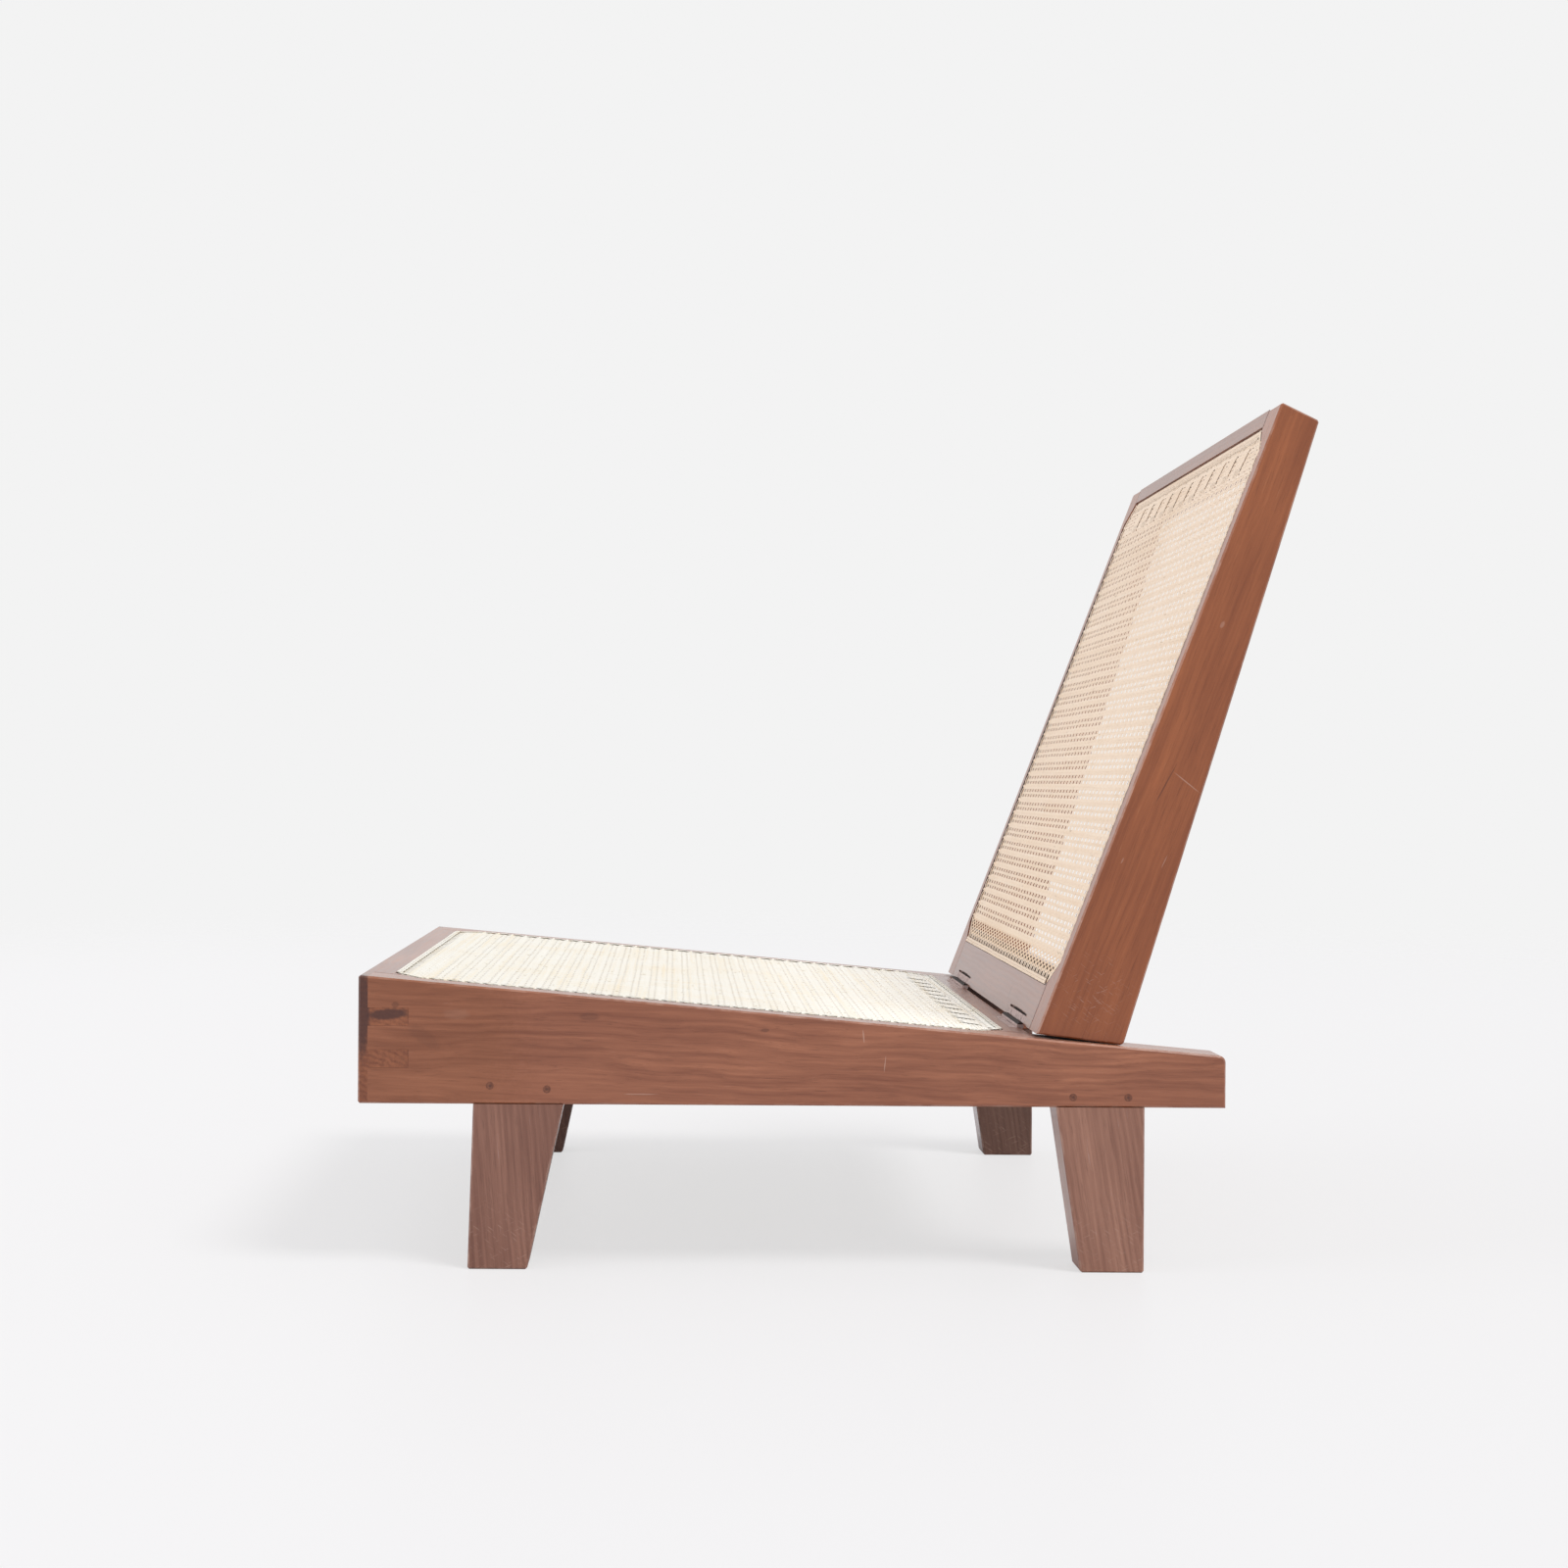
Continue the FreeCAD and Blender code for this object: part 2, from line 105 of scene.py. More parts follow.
class ChairColours(bpy.types.PropertyGroup):
    """Wood, cane and metal."""
    wood_light: colour("Wood, light", "Early wood of the red hardwood", (0.385, 0.148, 0.078))
    wood_dark: colour("Wood, dark", "Late wood of the red hardwood", (0.185, 0.058, 0.029))
    wood_end: colour("Wood, end grain", "Cut ends of the boards", (0.055, 0.017, 0.013))
    wood_worn: colour("Wood, worn", "Rubbed edges and feet", (0.5, 0.33, 0.26))
    cane_light: colour("Cane, light", "Bright cane of the back", (0.845, 0.685, 0.53))
    cane_dark: colour("Cane, dark", "Streaks in the cane of the back", (0.7, 0.5, 0.32))
    foot_light: colour("Foot band, light", "Bright cane at the foot of the back", (0.79, 0.59, 0.41))
    foot_dark: colour("Foot band, dark", "Streaks in the cane at the foot of the back", (0.62, 0.42, 0.27))
    seat_light: colour("Seat cane, light", "Bright cane of the seat", (0.79, 0.775, 0.705))
    seat_dark: colour("Seat cane, dark", "Streaks in the cane of the seat", (0.76, 0.64, 0.42))
    metal: colour("Hinge metal", "Dull patina of the hinge leaves", (0.6, 0.47, 0.44))
    # Painted shade: near-black painted into the hinge slots, gaps, contact lines and round the hinge pins,
    # where shade falls.
    grime: colour("Grime", "Dirt in slots and round the hinge pins", (0.018, 0.01, 0.008))


class StudioSizes(bpy.types.PropertyGroup):
    """Camera, lamps and floor."""
    camera_place: place("Camera", "Place of the camera", (1.9129, -0.1372, 0.4093))
    camera_roll: turn("Roll", "Roll of the camera", math.radians(0.335))
    focal_length: amount("Focal length", "Focal length in millimetres on a 36 mm sensor", 45.04)
    shift_x: amount("Shift across", "Lens shift across", 0.0692)
    shift_y: amount("Shift up", "Lens shift up", -0.0024)
    sky: amount("Sky", "Strength of the light from all round", 0.68)
    sun: amount("Key lamp", "Strength of the soft key lamp", 1.75)
    fill: amount("Fill lamp", "Power of the fill lamp in front", 150.0)
    backdrop: colour("Backdrop", "Colour of floor and background", (0.896, 0.896, 0.896))


# Materials: expressions on sockets

RING_SCALE = 0.314  # Scale of the ring pattern times the width of a ring.
SHADE_STRENGTH = 0.9  # Marks this strong are painted shade, which also takes the shine away.
MARK_DEPTH = 0.02  # How far a mark on an outer side reaches into the wood.


class Wire:
    """An output socket that can stand in an expression."""

    def __init__(self, recipe, socket):
        self.recipe = recipe
        self.socket = socket

    def __add__(self, other):
        return self.recipe.maths("ADD", self, other)

    def __sub__(self, other):
        return self.recipe.maths("SUBTRACT", self, other)

    def __rsub__(self, other):
        return self.recipe.maths("SUBTRACT", other, self)

    def __mul__(self, other):
        return self.recipe.maths("MULTIPLY", self, other)

    __rmul__ = __mul__

    def __abs__(self):
        return self.recipe.maths("ABSOLUTE", self)

    def rise(self, low, high):
        """0 up to low, 1 from high and smooth between. With low above high it falls instead."""
        return self.recipe.node("ShaderNodeMapRange", {"interpolation_type": "SMOOTHSTEP"},
                                {"Value": self, "From Min": low, "From Max": high})


class Recipe:
    """The nodes of one material or of the sky, built from expressions."""

    def __init__(self, owner, output="ShaderNodeOutputMaterial"):
        owner.use_nodes = True
        self.owner = owner
        self.tree = owner.node_tree
        self.tree.nodes.clear()
        self.surface = self.tree.nodes.new(output).inputs["Surface"]

    def node(self, kind, settings, sockets, out=0):
        """Adds a node, sets it up, fills its sockets with values or wires and returns an output."""
        made = self.tree.nodes.new(kind)
        for name, value in settings.items():
            setattr(made, name, value)
        for name, value in sockets.items():
            if isinstance(value, Wire):
                self.tree.links.new(value.socket, made.inputs[name])
            else:
                made.inputs[name].default_value = value
        return Wire(self, made.outputs[out])

    def maths(self, operation, *values):
        return self.node("ShaderNodeMath", {"operation": operation}, dict(enumerate(values)))

    def vector(self, operation, *values, out="Vector"):
        return self.node("ShaderNodeVectorMath", {"operation": operation}, dict(enumerate(values)), out)

    def place(self):
        return self.node("ShaderNodeTexCoord", {}, {}, "Object")

    def facing(self, direction):
        """How squarely the surface faces along or against a direction of the piece."""
        normal = self.node("ShaderNodeTexCoord", {}, {}, "Normal")
        return abs(self.vector("DOT_PRODUCT", normal, direction, out="Value"))

    def turned(self, vector, centre, angles, scale=(1, 1, 1)):
        """The place measured along a piece's own axes, then stretched."""
        along = self.node("ShaderNodeMapping", {"vector_type": "TEXTURE"},
                          {"Vector": vector, "Location": centre, "Rotation": angles})
        return self.vector("MULTIPLY", along, scale)

    def noise(self, vector, detail=2.0, roughness=0.5, scale=1.0):
        return self.node("ShaderNodeTexNoise", {}, {"Vector": vector, "Scale": scale, "Detail": detail,
                                                    "Roughness": roughness})

    def mix(self, factor, first, second, blend="MIX"):
        return self.node("ShaderNodeMix", {"data_type": "RGBA", "blend_type": blend},
                         {0: factor, 6: first, 7: second}, 2)

    def axis(self, vector, index):
        return self.node("ShaderNodeSeparateXYZ", {}, {0: vector}, index)

    def bump(self, strength, distance, height):
        return self.node("ShaderNodeBump", {}, {"Strength": strength, "Distance": distance, "Height": height})

    def finish(self, kind, sockets):
        self.tree.links.new(self.node(kind, {}, sockets).socket, self.surface)
        return self.owner


def rgb(values, scale=1.0):
    return tuple(value * scale for value in values) + (1.0,)


def grain_angles(direction):
    """Angles of a board whose grain runs along a direction."""
    along = Vector(direction).normalized()
    return (0, -math.asin(along.z), math.atan2(along.y, along.x))


def wood(name, direction, centre, tone, pith, ring=0.005, scuffed=None, marks=(), waves=0.01,
         contrast=1.0, ends=0.85):
    """Oiled red hardwood with its grain along a direction of the chair."""
    colours = bpy.context.scene.chair_colours
    recipe = Recipe(bpy.data.materials.new(name))
    spot = recipe.place()
    board = recipe.turned(spot, centre, grain_angles(direction))
    drift = (recipe.noise(recipe.vector("MULTIPLY", board, (7, 17, 17))) - 0.5) * waves
    flow = recipe.vector("ADD", board, recipe.node("ShaderNodeCombineXYZ", {}, {1: drift, 2: drift}))
    rings = recipe.node(
        "ShaderNodeTexWave", {"wave_type": "RINGS", "rings_direction": "X", "wave_profile": "SIN"},
        {"Vector": recipe.vector("MULTIPLY_ADD", flow, (0.12, 1, 1), pith), "Scale": RING_SCALE / ring,
         "Distortion": 5.0, "Detail": 3.0, "Detail Scale": 1.4, "Detail Roughness": 0.6}, 1)
    streak = recipe.noise(recipe.vector("MULTIPLY", flow, (9, 330, 330)), 3.0, 0.62)
    fibre = recipe.noise(recipe.vector("MULTIPLY", flow, (45, 1500, 1500)), 2.0, 0.6)
    cloud = recipe.noise(recipe.vector("MULTIPLY", board, (6, 22, 22)), 3.0, 0.55)
    # Figure of the wood, dark clouds, dark pores and dry pale fibres.
    depth = (rings - 0.5) * 0.3 + (streak - 0.5) * 1.6 + (cloud - 0.5) * 0.9
    base = recipe.mix(depth * contrast + 0.5, rgb(colours.wood_dark), rgb(colours.wood_light))
    base = recipe.mix(cloud.rise(0.62, 0.36) * 0.25, base, rgb(colours.wood_dark, 1.1))
    base = recipe.mix(fibre.rise(0.58, 0.7) * 0.4, base, rgb(colours.wood_dark, 0.6))
    base = recipe.mix(fibre.rise(0.36, 0.24) * streak.rise(0.5, 0.7) * 0.35, base, rgb(colours.wood_worn))
    base = recipe.mix(1.0, base, rgb(tone), "MULTIPLY")
    # Cut ends are dark.
    end = recipe.facing(tuple(Vector(direction).normalized())).rise(0.8, 0.95)
    cut = recipe.mix(rings * 0.5 + fibre * 0.4, rgb(colours.wood_end), rgb(colours.wood_dark))
    base = recipe.mix(end * ends, base, cut)
    # Rounded edges face no axis squarely and are rubbed pale.
    square = recipe.facing((1, 0, 0))
    for other in ((0, 0, 1), (0, 1, 0)):
        square = recipe.maths("MAXIMUM", square, recipe.facing(other))
    rubbed = square.rise(0.86, 0.76) * recipe.noise(spot, 3.0, 0.6, 55.0).rise(0.4, 0.66)
    base = recipe.mix(rubbed * 0.35, base, rgb(colours.wood_worn))
    rough = (streak - 0.5) * 0.2 + 0.36
    coat = 0.8
    if scuffed:
        base, rough = scuffs(recipe, spot, base, rough, scuffed)
    # The strongest marks are painted shade; they also lose the coat and turn rougher.
    for mark in marks:
        base, cover, strength = marked(recipe, spot, base, mark)
        if strength >= SHADE_STRENGTH:
            rough = rough + cover * 0.5
            coat = coat * (1 - cover)
    return recipe.finish("ShaderNodeBsdfPrincipled", {
        "Base Color": base, "Roughness": rough, "Specular IOR Level": 0.3, "IOR": 1.5, "Coat Weight": coat,
        "Coat Roughness": 0.24, "Coat IOR": 1.3,
        "Normal": recipe.bump(0.18, 0.0004, fibre * 0.6 + streak * 0.8)})


def scuffs(recipe, spot, base, rough, where):
    """Pale scratches round one place, in two directions."""
    centre, radius = where
    away = recipe.vector("DISTANCE", spot, centre, out="Value")
    near = away.rise(radius, radius * 0.25)
    first = recipe.noise(recipe.turned(spot, centre, (math.radians(-38), 0, 0), (300, 70, 900)), 3.0, 0.6)
    second = recipe.noise(recipe.turned(spot, centre, (math.radians(24), 0, 0), (300, 60, 800)), 3.0, 0.6)
    both = (first.rise(0.6, 0.68) + second.rise(0.62, 0.7)) * near
    worn = rgb(bpy.context.scene.chair_colours.wood_worn)
    return recipe.mix(recipe.maths("MINIMUM", both, 1.0) * 0.38, base, worn), rough + both * 0.12


def marked(recipe, spot, base, mark):
    """Lays on a dark or pale mark: its middle, turn about the width, half sizes, strength and colour."""
    middle, angle, reach, strength, shade = mark
    inside = recipe.turned(spot, middle, (math.radians(angle), 0, 0), tuple(1 / part for part in reach))
    away = recipe.vector("LENGTH", inside, out="Value")
    ragged = recipe.noise(spot, 2.0, 0.6, 260.0) * 0.5
    cover = (away + ragged).rise(1.35, 0.85) * strength
    return recipe.mix(cover, base, shade), cover, strength


def side_marks(outer, *rows):
    """Marks on an outer side: place along and up, turn, half length, half height, strength and colour."""
    return [((outer, along, up), angle, (MARK_DEPTH, length, height), strength, shade)
            for along, up, angle, length, height, strength, shade in rows]


def cane(name, angle, along, tints, shade=1.0, streaks=1.0, rested=None, knots=0.7):
    """Split cane: fine lines along the strand, tan streaks and darker knots. Given a span along the chair, it
    is painted paler beyond it: painted light where the back shades the seat.
    """
    recipe = Recipe(bpy.data.materials.new(name))
    spot = recipe.place()
    scales = {"across": ((3.2, 190, 190), (22, 1500, 900), (55, 240, 240)),
              "up": ((190, 3.2, 190), (1500, 22, 900), (240, 55, 240))}[along]
    strand, line, knot = (
        recipe.noise(recipe.turned(spot, (0, 0, 0), (angle, 0, 0), scale), *kind)
        for scale, kind in zip(scales, ((2.0, 0.6), (2.0, 0.6), (1.0, 0.5))))
    cloud = recipe.noise(spot, 3.0, 0.55, 9.0)
    light, dark = (rgb(tint, shade) for tint in tints)
    base = recipe.mix((strand.rise(0.45, 0.8) * 0.45 + cloud.rise(0.45, 0.8) * 0.2) * streaks, light, dark)
    base = recipe.mix(line.rise(0.58, 0.72) * 0.22 * streaks, base, dark)
    base = recipe.mix(strand.rise(0.42, 0.22) * 0.3, base, rgb((0.97, 0.93, 0.84), shade))
    base = recipe.mix(knot.rise(knots, knots + 0.08) * 0.55, base, rgb(tints[1], 0.62 * shade))
    # Painted light: paler towards the rear, where the back shades the seat.
    if rested:
        base = recipe.mix(recipe.axis(spot, 1).rise(*rested), base, rgb((1.2, 1.22, 1.25)), "MULTIPLY")
    return recipe.finish("ShaderNodeBsdfPrincipled", {
        "Base Color": base, "Roughness": (line - 0.5) * 0.25 + 0.46, "IOR": 1.45,
        "Normal": recipe.bump(0.35, 0.0003, line * 0.6 + strand * 0.4)})


def tarnished(name, tone=1.0):
    """Metal under a brown patina, with painted shade on top of the hinge line."""
    colours = bpy.context.scene.chair_colours
    line = bpy.context.scene.chair_shape.hinge_line
    recipe = Recipe(bpy.data.materials.new(name))
    spot = recipe.place()
    patch = recipe.noise(spot, 4.0, 0.6, 260.0)
    brushed = recipe.noise(recipe.vector("MULTIPLY", spot, (60, 1600, 1600)))
    base = recipe.mix(patch.rise(0.35, 0.7), rgb(colours.metal, tone), rgb(colours.metal, 0.6 * tone))
    base = recipe.mix(brushed.rise(0.55, 0.75) * 0.25, base, rgb(colours.wood_worn, 0.6))
    # Painted shade: near-black over the top of the hinge pins.
    away = recipe.vector("LENGTH", recipe.turned(spot, tuple(line), (0, 0, 0), (0, 1, 1)), out="Value")
    upper = recipe.axis(spot, 2).rise(line[2] + 0.001, line[2] + 0.0018)
    base = recipe.mix(away.rise(0.0036, 0.003) * upper, base, rgb(colours.grime))
    return recipe.finish("ShaderNodeBsdfPrincipled", {
        "Base Color": base, "Roughness": patch * 0.25 + 0.55, "Metallic": patch.rise(0.6, 0.45) * 0.15,
        "Normal": recipe.bump(0.3, 0.0002, patch + brushed * 0.5), "Specular IOR Level": 0.3})


def dressed(node, material):
    """Gives a CAD node its finished material."""
    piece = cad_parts[node]
    piece.data.materials.clear()
    piece.data.materials.append(material)


# Modelling by hand

RIGHT_ANGLE = math.pi / 2
MOST_CUTS = 100  # One subdivide makes no more cuts than this.


def deselect():
    bpy.ops.object.select_all(action="DESELECT")


def only(piece):
    deselect()
    piece.select_set(True)
    bpy.context.view_layer.objects.active = piece


def editing(piece):
    """Opens a piece for edits of its mesh, until done."""
    only(piece)
    bpy.ops.object.mode_set(mode="EDIT")


def done():
    bpy.ops.object.mode_set(mode="OBJECT")


def pick(piece, wanted):
    """In edit mode, selects the points whose place passes the test."""
    bpy.ops.mesh.select_mode(type="VERT")
    shape = bmesh.from_edit_mesh(piece.data)
    for point in shape.verts:
        point.select_set(wanted(point.co))
    shape.select_flush_mode()
    bmesh.update_edit_mesh(piece.data)
    return any(point.select for point in shape.verts)


def applied(piece, kind, settings):
    """Adds a modifier, sets it and applies it."""
    only(piece)
    bpy.ops.object.modifier_add(type=kind)
    modifier = piece.modifiers[-1]
    for name, value in settings.items():
        setattr(modifier, name, value)
    bpy.ops.object.modifier_apply(modifier=modifier.name)
    return piece


def repeated(piece, count, step):
    return applied(piece, "ARRAY", {"use_relative_offset": False, "use_constant_offset": True,
                                    "constant_offset_displace": step, "count": count})


def joined(pieces, name):
    only(pieces[0])
    for piece in pieces:
        piece.select_set(True)
    bpy.ops.object.join()
    whole = bpy.context.object
    whole.name = name
    whole.data.name = name
    return whole


def settled(piece):
    """Takes the place and turn of a piece into its mesh."""
    only(piece)
    bpy.ops.object.transform_apply(location=True, rotation=True, scale=True)
    return piece


def laid(piece, angle, start):
    """Turns a piece made flat into its plane on the chair."""
    piece.rotation_euler = (angle, 0, 0)
    piece.location = start
    return settled(piece)


def ribbon(name, length, width, thickness, steps, middle, angle=0.0):
    """A flat strand with a low ridge, cut into equal steps, lying along X or turned from it.

    More than a hundred steps are cut in two rounds, so their number needs a small divisor.
    """
    deselect()
    bpy.ops.mesh.primitive_cylinder_add(vertices=4, radius=0.5, depth=length, rotation=(0, RIGHT_ANGLE, 0))
    piece = bpy.context.object
    piece.name = name
    bpy.ops.transform.resize(value=(1, width, thickness))
    bpy.ops.object.transform_apply(location=False, rotation=True, scale=True)
    first = next(parts for parts in range(1, steps + 1) if not steps % parts and steps // parts <= MOST_CUTS)
    for span, parts in ((length, first), (length / first, steps // first)):
        if parts > 1:
            editing(piece)
            bpy.ops.mesh.select_mode(type="EDGE")
            shape = bmesh.from_edit_mesh(piece.data)
            for edge in shape.edges:
                edge.select_set(abs(edge.verts[0].co.x - edge.verts[1].co.x) > span / 2)
            bmesh.update_edit_mesh(piece.data)
            bpy.ops.mesh.subdivide(number_cuts=parts - 1)
            done()
    piece.rotation_euler = (0, 0, angle)
    piece.location = middle
    return settled(piece)


def waved(piece, along, start, step, lifts, push=(0, 0, 1)):
    """Pushes the points of a strand out of line by the beat that they lie on."""
    editing(piece)
    for beat, lift in enumerate(lifts):
        if lift and pick(piece, lambda co: round((co[along] - start) / step) % len(lifts) == beat):
            bpy.ops.transform.translate(value=[lift * part for part in push])
    done()
    return piece


def moved(piece, wanted, shift):
    """Moves the points that pass the test."""
    editing(piece)
    if pick(piece, wanted):
        bpy.ops.transform.translate(value=shift)
    done()
    return piece


def trimmed(piece, cuts):
    """Cuts a piece off beyond each plane, given as a point and an outward normal."""
    editing(piece)
    for point, normal in cuts:
        bpy.ops.mesh.select_all(action="SELECT")
        bpy.ops.mesh.bisect(plane_co=point, plane_no=normal, use_fill=True, clear_outer=True)
    done()
    return piece


def wandering(piece, direction, strength, seed):
    """Lets strands wander a little in the plane of the mat, as hand-laid ones do."""
    texture = bpy.data.textures.new("wander_" + str(seed), "CLOUDS")
    texture.noise_scale = 0.085
    texture.noise_depth = 1
    return applied(piece, "DISPLACE", {"texture": texture, "texture_coords": "LOCAL",
                                       "direction": direction, "mid_level": 0.5, "strength": strength})


def smoothed(piece, degrees=50):
    """Shades a piece smooth, but for edges sharper than the angle."""
    only(piece)
    bpy.ops.object.shade_smooth_by_angle(angle=math.radians(degrees))
    return piece


def fitted_out(piece, material, body, nodes=()):
    """Gives a finished piece its material, its body and the node that it stands for."""
    piece.data.materials.clear()
    piece.data.materials.append(material)
    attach(piece, body)
    if nodes:
        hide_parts(*nodes)
    return piece


# Places of the strands: distances from the edge of a mat, and heights over the middle of the weave

EDGE_GAP = 0.0009  # The cross strands end this far inside the edge of the mat.
END_LENGTH = 0.001  # The ends of the cross strands are bent down into the holes.
END_DIP = 0.0016
BEND_LENGTH = 0.005  # The ends of the single strands are drawn towards the pair below.
FOOT_ENDS = (0.0045, 0.0145)  # The long strands show between these lines below the foot band.
FOOT_BAND_LOW, FOOT_BAND_ROWS, FOOT_BAND_SWAY = 0.0108, 6, 0.0014
HATCH_DEPTH = 0.0125  # Fine slanting strands cover the upper edge.
COVER_TURN, HATCH_TURN = 0.42, 0.62
EDGE_LINE = 0.0058  # One strand runs up each side.
EDGE_WIDTH = 0.0036
LOOP_LINE = 0.0046  # A loop holds it at every row.
LOOP_LENGTH, LOOP_WIDTH, LOOP_FLAT, LOOP_DIP = 0.0064, 0.0026, 0.0028, 0.001
CORNER_LINE = 0.0022
PEG_LINE = 0.0011  # Every hole has a peg, above its row.
PEG_RISE = 0.0045
STRIP_LINE = 0.003  # Two binding strips lie on both sides of this line, with a loop at every hole.
STRIP_SHIFT, STRIP_WIDTH, STRIP_THICKNESS = 0.0013, 0.0025, 0.0008
TIE_LENGTH, TIE_WIDTH, TIE_THICKNESS, TIE_FLAT, TIE_DIP = 0.0058, 0.0021, 0.0005, 0.0024, 0.0009
WANDER = {"long": 0.0014, "cross": 0.001, "border": 0.0008}  # How far the strands wander.


@dataclass
class Mat:
    """One woven mat in its own plane: X across, Y up the mat, Z out of the face."""
    name: str
    body: str
    low: float
    high: float
    sunk: float
    tints: tuple  # Light and dark cane.
    foot_tints: tuple
    lift: float
    thickness: float
    snug: float = 1.0  # How much wider the strands are laid.
    growth: float = 0.0  # How much a pair of strands widens three times on its way up.
    foot_share: float = 1.0  # Width of the long strands below the foot band.
    streaks: float = 1.0
    knots: float = 0.7
    rested: tuple = None  # Between these places along the chair the cane is painted paler: painted light where the back shades the seat.

    def __post_init__(self):
        shape = bpy.context.scene.chair_shape
        self.half = getattr(shape, self.name + "_half_width")
        self.angle, self.start = getattr(shape, self.name + "_turn"), getattr(shape, self.name + "_start")
        self.clip = shape.corner_clip + 0.003
        self.weave = weave = bpy.context.scene.cane_sizes
        self.step = weave.pitch / 4
        self.reach = self.half - EDGE_GAP
        self.level = -self.sunk
        self.first_row = self.low + weave.foot_band + weave.cross_width
        self.rows = int((self.high - weave.head_band - self.first_row) / weave.pitch) + 1
        self.field_low = self.first_row - weave.cross_width
        self.field_top = self.first_row + (self.rows - 1) * weave.pitch + weave.cross_width

    def corners(self):
        """The planes of the four clipped corners."""
        return [((side * self.half, end - up * self.clip, 0), Vector((side, up, 0)).normalized())
                for side in (-1, 1) for end, up in ((self.low, -1), (self.high, 1))]

    def sides(self):
        """The planes where the cross strands end."""
        return [((side * self.reach, 0, 0), (side, 0, 0)) for side in (-1, 1)]

    def strand(self, kind, length, width, steps, spot, angle=0.0, thick=1.0):
        """A ribbon in the mat. The last number of its spot is its height over the middle of the weave."""
        x, y, raised = spot
        return ribbon(kind, length, width, self.thickness * thick, steps, (x, y, self.level + raised), angle)

    def crossing(self, kind, width, rise, raised):
        """A strand across the mat, longer than needed, with its points midway between two beats."""
        steps = 3 * (2 * math.ceil((self.reach / self.step - 1.5) / 3) + 1)
        return self.strand(kind, steps * self.step, width, steps, (0, rise, raised))

    def long_strands(self):
        """Pairs of strands up the mat, one laid over the other, and their ends below the foot band."""
        weave = self.weave
        width, spacing = weave.upright_width * self.snug, weave.upright_spacing * self.snug
        start = self.first_row - 1.5 * self.step
        beats = 2 * round((self.high - HATCH_DEPTH - start) / self.step / 2)
        foot = (self.low + FOOT_ENDS[0], self.low + FOOT_ENDS[1], width * self.foot_share)
        field = (start, start + beats * self.step, width)
        strands = []
        for side, lifts in ((-1, (0.8, 1, 1.2, 1)), (1, (-1.2, -1, -0.8, -1))):
            middle = side * spacing / 2
            for low, high, broad in (foot, field):
                strand = self.strand("long", high - low, broad, round((high - low) / self.step),
                                     (middle, (low + high) / 2, 0), RIGHT_ANGLE)
                waved(strand, 1, self.first_row - self.step / 2, self.step,
                      [lift * weave.long_lift for lift in lifts])
                for share in (0.2, 0.4, 0.6):
                    rise = self.low + share * (self.high - self.low)
                    moved(strand, lambda co: co.y > rise and (co.x - middle) * side > width / 4,
                          (side * self.growth / 2, 0, 0))
                strands.append(strand)
        pair = joined(strands, self.name + "_long_strands")
        moved(pair, lambda co: True, (-(weave.pairs - 1) / 2 * weave.pitch, 0, 0))
        repeated(pair, weave.pairs, (weave.pitch, 0, 0))
        trimmed(pair, self.corners())
        return wandering(pair, "X", WANDER["long"], 3)

    def cross_strands(self):
        """A pair of woven strands and a single one across the mat in every row."""
        weave, bent, drawn = self.weave, self.reach - END_LENGTH, self.reach - BEND_LENGTH
        wide = weave.cross_width * self.snug
        strands = []
        for offset, width, lifts in (
                (-wide / 2, wide, (1, -1, -0.4, 0.4)),
                (wide / 2, wide, (-1, 1, 0.4, -0.4)),
                (weave.pitch / 2, weave.single_width * self.snug, (1, -1, -0.5, 0.5))):
            strand = self.crossing("cross", width, self.first_row + offset, 0)
            waved(strand, 0, -self.step / 2, self.step, [part * self.lift for part in lifts])
            trimmed(strand, self.sides())
            moved(strand, lambda co: abs(co.x) > bent, (0, 0, -END_DIP))
            if offset > weave.cross_width:
                moved(strand, lambda co: abs(co.x) > bent, (0, -weave.pitch * 0.28, 0))
                moved(strand, lambda co: drawn < abs(co.x) < bent, (0, -weave.pitch * 0.1, 0))
            strands.append(strand)
        row = joined(strands, self.name + "_cross_strands")
        repeated(row, self.rows, (0, weave.pitch, 0))
        trimmed(row, self.corners())
        return wandering(row, "Y", WANDER["cross"], 5)

    def band(self, low, high, count, fill, sway):
        """Tight strands that fill a band. Where they sway apart, small openings stay between them."""
        pitch = (high - low) / count
        rows = []
        for odd in (0, 1):
            row = self.crossing("tight", pitch * fill, low + pitch * (odd + 0.5), 0.0002)
            push = sway * (1 - 2 * odd)
            waved(row, 0, -self.step / 2, self.step, (push, push, -push, -push), (0, 1, 0))
            trimmed(row, self.sides())
            rows.append(repeated(row, (count + 1 - odd) // 2, (0, 2 * pitch, 0)))
        return rows

    def slanted(self, low, high, width, angle, spacing, raised, reach):
        """A row of short strands laid slantwise over a band."""
        count = 2 * int(reach / spacing) + 1
        middle = (low + high) / 2
        strand = self.strand("slanted", (high - low) / math.cos(angle), width, 4,
                             (-(count - 1) / 2 * spacing, middle, raised), RIGHT_ANGLE - angle)
        moved(strand, lambda co: abs(co.y - middle) > (high - low) * 0.4, (0, 0, -0.8 * raised))
        return repeated(strand, count, (spacing, 0, 0))

    def borders(self):
        """The dense band at the upper edge and the strands along the sides and the clipped corners."""
        weave = self.weave
        inner = self.half - self.clip
        hatch_low = self.high - HATCH_DEPTH
        pieces = self.band(self.field_top + 0.0006, hatch_low, 6, 0.76, 0)
